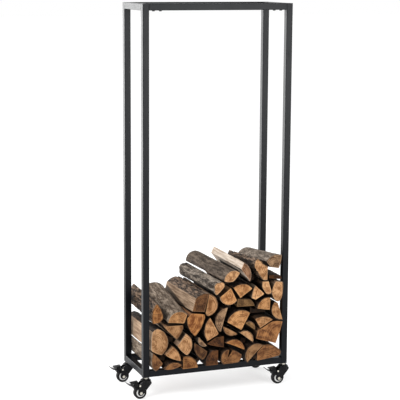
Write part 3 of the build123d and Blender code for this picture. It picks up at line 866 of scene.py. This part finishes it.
def make_logs():
    """Replaces each CAD node of logs by one piece for each of its logs."""
    group = log_group()
    pile = whole_pile()
    number = 0
    for node, looks in LOOKS.items():
        merged, solids = separate_solids(frame["nodes"][node].data)
        solids.sort(key=place_key)
        for solid, (wood, bright, bark, facing) in zip(solids, looks):
            number += 1
            name = f"firewood_{number:02d}"
            shape = LogShape(solid, facing, number)
            mesh = log_mesh(name, shape, BARKS[bark][2], pile)
            mesh.materials.append(log_material(name, wood, bright, bark, group))
            piece = bpy.data.objects.new(name, mesh)
            bpy.context.scene.collection.objects.link(piece)
            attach(piece, "rack")
            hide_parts(node)
        merged.free()


# ---- rack materials -------------------------------------------------------------------------
def rack_noise(tree, name):
    """One of the RACK_NOISE kinds in object coordinates, which are the frame's own metres."""
    place = add(tree, "ShaderNodeTexCoord").outputs["Object"]
    return stretched_noise(tree, place, *RACK_NOISE[name])


def powder_coat():
    """Satin black powder coat: fine orange peel, soft cloudiness and a few dull rubbed patches."""
    material, tree, shader = new_material("powder_coat")
    cloud = rack_noise(tree, "cloud")
    rubbed = fade_in(tree, "rubbed", rack_noise(tree, "rubbed"))
    dark, light = POWDER_COLOURS
    colour = blend(tree, cloud, linear(dark), linear(light))
    colour = cover(tree, "rubbed", rubbed, colour, linear(POWDER_RUBBED))
    roughness = vary(tree, roughness_of(tree, "powder_coat", cloud), rubbed, by=RUBBED_ROUGHNESS)
    finish_material(tree, shader, "powder_coat", colour, roughness, rack_noise(tree, "peel"))
    shader.inputs["Specular IOR Level"].default_value = DULL_SPECULAR
    return material


def pressed_steel():
    """Glossy black coated steel pressings, a little worn."""
    material, tree, shader = new_material("caster_steel")
    grime = rack_noise(tree, "grime")
    scratch = fade_in(tree, "scratch", rack_noise(tree, "scratch"))
    clean, grimy = STEEL_COLOURS
    colour = blend(tree, grime, linear(clean), linear(grimy))
    colour = cover(tree, "scratch", scratch, colour, linear(STEEL_SCRATCH))
    roughness = roughness_of(tree, "caster_steel", grime)
    finish_material(tree, shader, "caster_steel", colour, roughness, grime)
    shader.inputs["Specular IOR Level"].default_value = DULL_SPECULAR
    return material


def zinc_plate():
    """Bright zinc plate that has dulled in places."""
    material, tree, shader = new_material("zinc")
    dull = rack_noise(tree, "dull")
    bright_colour, dull_colour = ZINC_COLOURS
    colour = blend(tree, dull, linear(bright_colour), linear(dull_colour))
    finish_material(tree, shader, "zinc", colour, roughness_of(tree, "zinc", dull), dull)
    shader.inputs["Metallic"].default_value = 1.0
    return material


def rubber():
    """Black rubber with a little dust on it."""
    material, tree, shader = new_material("tyre")
    dust = rack_noise(tree, "dust")
    clean, dusty = RUBBER_COLOURS
    colour = blend(tree, fade_in(tree, "dust", dust), linear(clean), linear(dusty))
    finish_material(tree, shader, "tyre", colour, roughness_of(tree, "tyre", dust), dust)
    shader.inputs["Specular IOR Level"].default_value = RUBBER_SPECULAR
    return material


def moulded(name, first, second):
    """A material that is mottled between two colours, with a fine moulded grain."""
    material, tree, shader = new_material(name)
    mottle = rack_noise(tree, "mottle")
    colour = blend(tree, mottle, linear(first), linear(second))
    roughness = roughness_of(tree, "moulded", mottle)
    finish_material(tree, shader, "moulded", colour, roughness, rack_noise(tree, "moulding"))
    return material


def paint_rack():
    """Gives every CAD node that shows the material of its slot."""
    made = {
        "powder_coat": powder_coat(),
        "caster_steel": pressed_steel(),
        "zinc": zinc_plate(),
        "tyre": rubber(),
    }
    made.update({name: moulded(name, *colours) for name, colours in PLASTIC_COLOURS.items()})
    for part in frame["record"]["subparts"]:
        if part["material_slot"] in made:
            mesh = frame["nodes"][part["node"]].data
            mesh.materials.clear()
            mesh.materials.append(made[part["material_slot"]])


# ---- camera, lights and floor ---------------------------------------------------------------
def area_light(name, place, target, size, power):
    light = bpy.data.lights.new(name, "AREA")
    light.shape = "RECTANGLE"
    light.size, light.size_y = size
    light.energy = power
    lamp = bpy.data.objects.new(name, light)
    lamp.location = place
    lamp.rotation_euler = (Vector(target) - Vector(place)).to_track_quat("-Z", "Y").to_euler()
    bpy.context.scene.collection.objects.link(lamp)


def make_studio():
    """A white world, the area lights, and colours shown as they are."""
    world = bpy.data.worlds.new("studio")
    bpy.context.scene.world = world
    world.use_nodes = True
    background = world.node_tree.nodes["Background"]
    background.inputs["Color"].default_value = (1, 1, 1, 1)
    background.inputs["Strength"].default_value = WORLD_BRIGHTNESS
    for name, settings in LIGHTS.items():
        area_light(name, *settings)
    bpy.context.scene.view_settings.view_transform = "Standard"


def make_floor():
    """A wide pale floor that glows a little, to come out as white as the background."""
    material, tree, shader = new_material("floor")
    speckle = rack_noise(tree, "speckle")
    first, second = FLOOR_COLOURS
    colour = blend(tree, speckle, linear(first), linear(second))
    finish_material(tree, shader, "floor", colour, roughness_of(tree, "floor", speckle), speckle)
    shader.inputs["Emission Color"].default_value = (1, 1, 1, 1)
    shader.inputs["Emission Strength"].default_value = FLOOR_GLOW
    mesh = bpy.data.meshes.new("floor")
    corners = [(x * FLOOR_HALF, y * FLOOR_HALF, 0) for x, y in ((-1, -1), (1, -1), (1, 1), (-1, 1))]
    mesh.from_pydata(corners, [], [(0, 1, 2, 3)])
    mesh.materials.append(material)
    floor = bpy.data.objects.new("floor", mesh)
    bpy.context.scene.collection.objects.link(floor)


def make_camera():
    """The camera where the photographer stood: turned by its yaw, pitched down, then rolled."""
    level = math.cos(CAMERA_DOWN)
    sin_yaw, cos_yaw = math.sin(CAMERA_YAW), math.cos(CAMERA_YAW)
    ahead = Vector((sin_yaw * level, cos_yaw * level, -math.sin(CAMERA_DOWN)))
    right = Vector((cos_yaw, -sin_yaw, 0))
    up = right.cross(ahead)
    cos_roll, sin_roll = math.cos(CAMERA_ROLL), math.sin(CAMERA_ROLL)
    right, up = cos_roll * right + sin_roll * up, cos_roll * up - sin_roll * right
    turned = Matrix((right, up, -ahead)).transposed().to_4x4()
    data = bpy.data.cameras.new("camera")
    data.lens = CAMERA_LENS_MM
    data.sensor_width = SENSOR_WIDTH_MM
    camera = bpy.data.objects.new("camera", data)
    camera.matrix_world = Matrix.Translation(CAMERA_PLACE) @ turned
    bpy.context.scene.collection.objects.link(camera)
    bpy.context.scene.camera = camera


make_camera()
make_studio()
make_floor()
paint_rack()
make_logs()
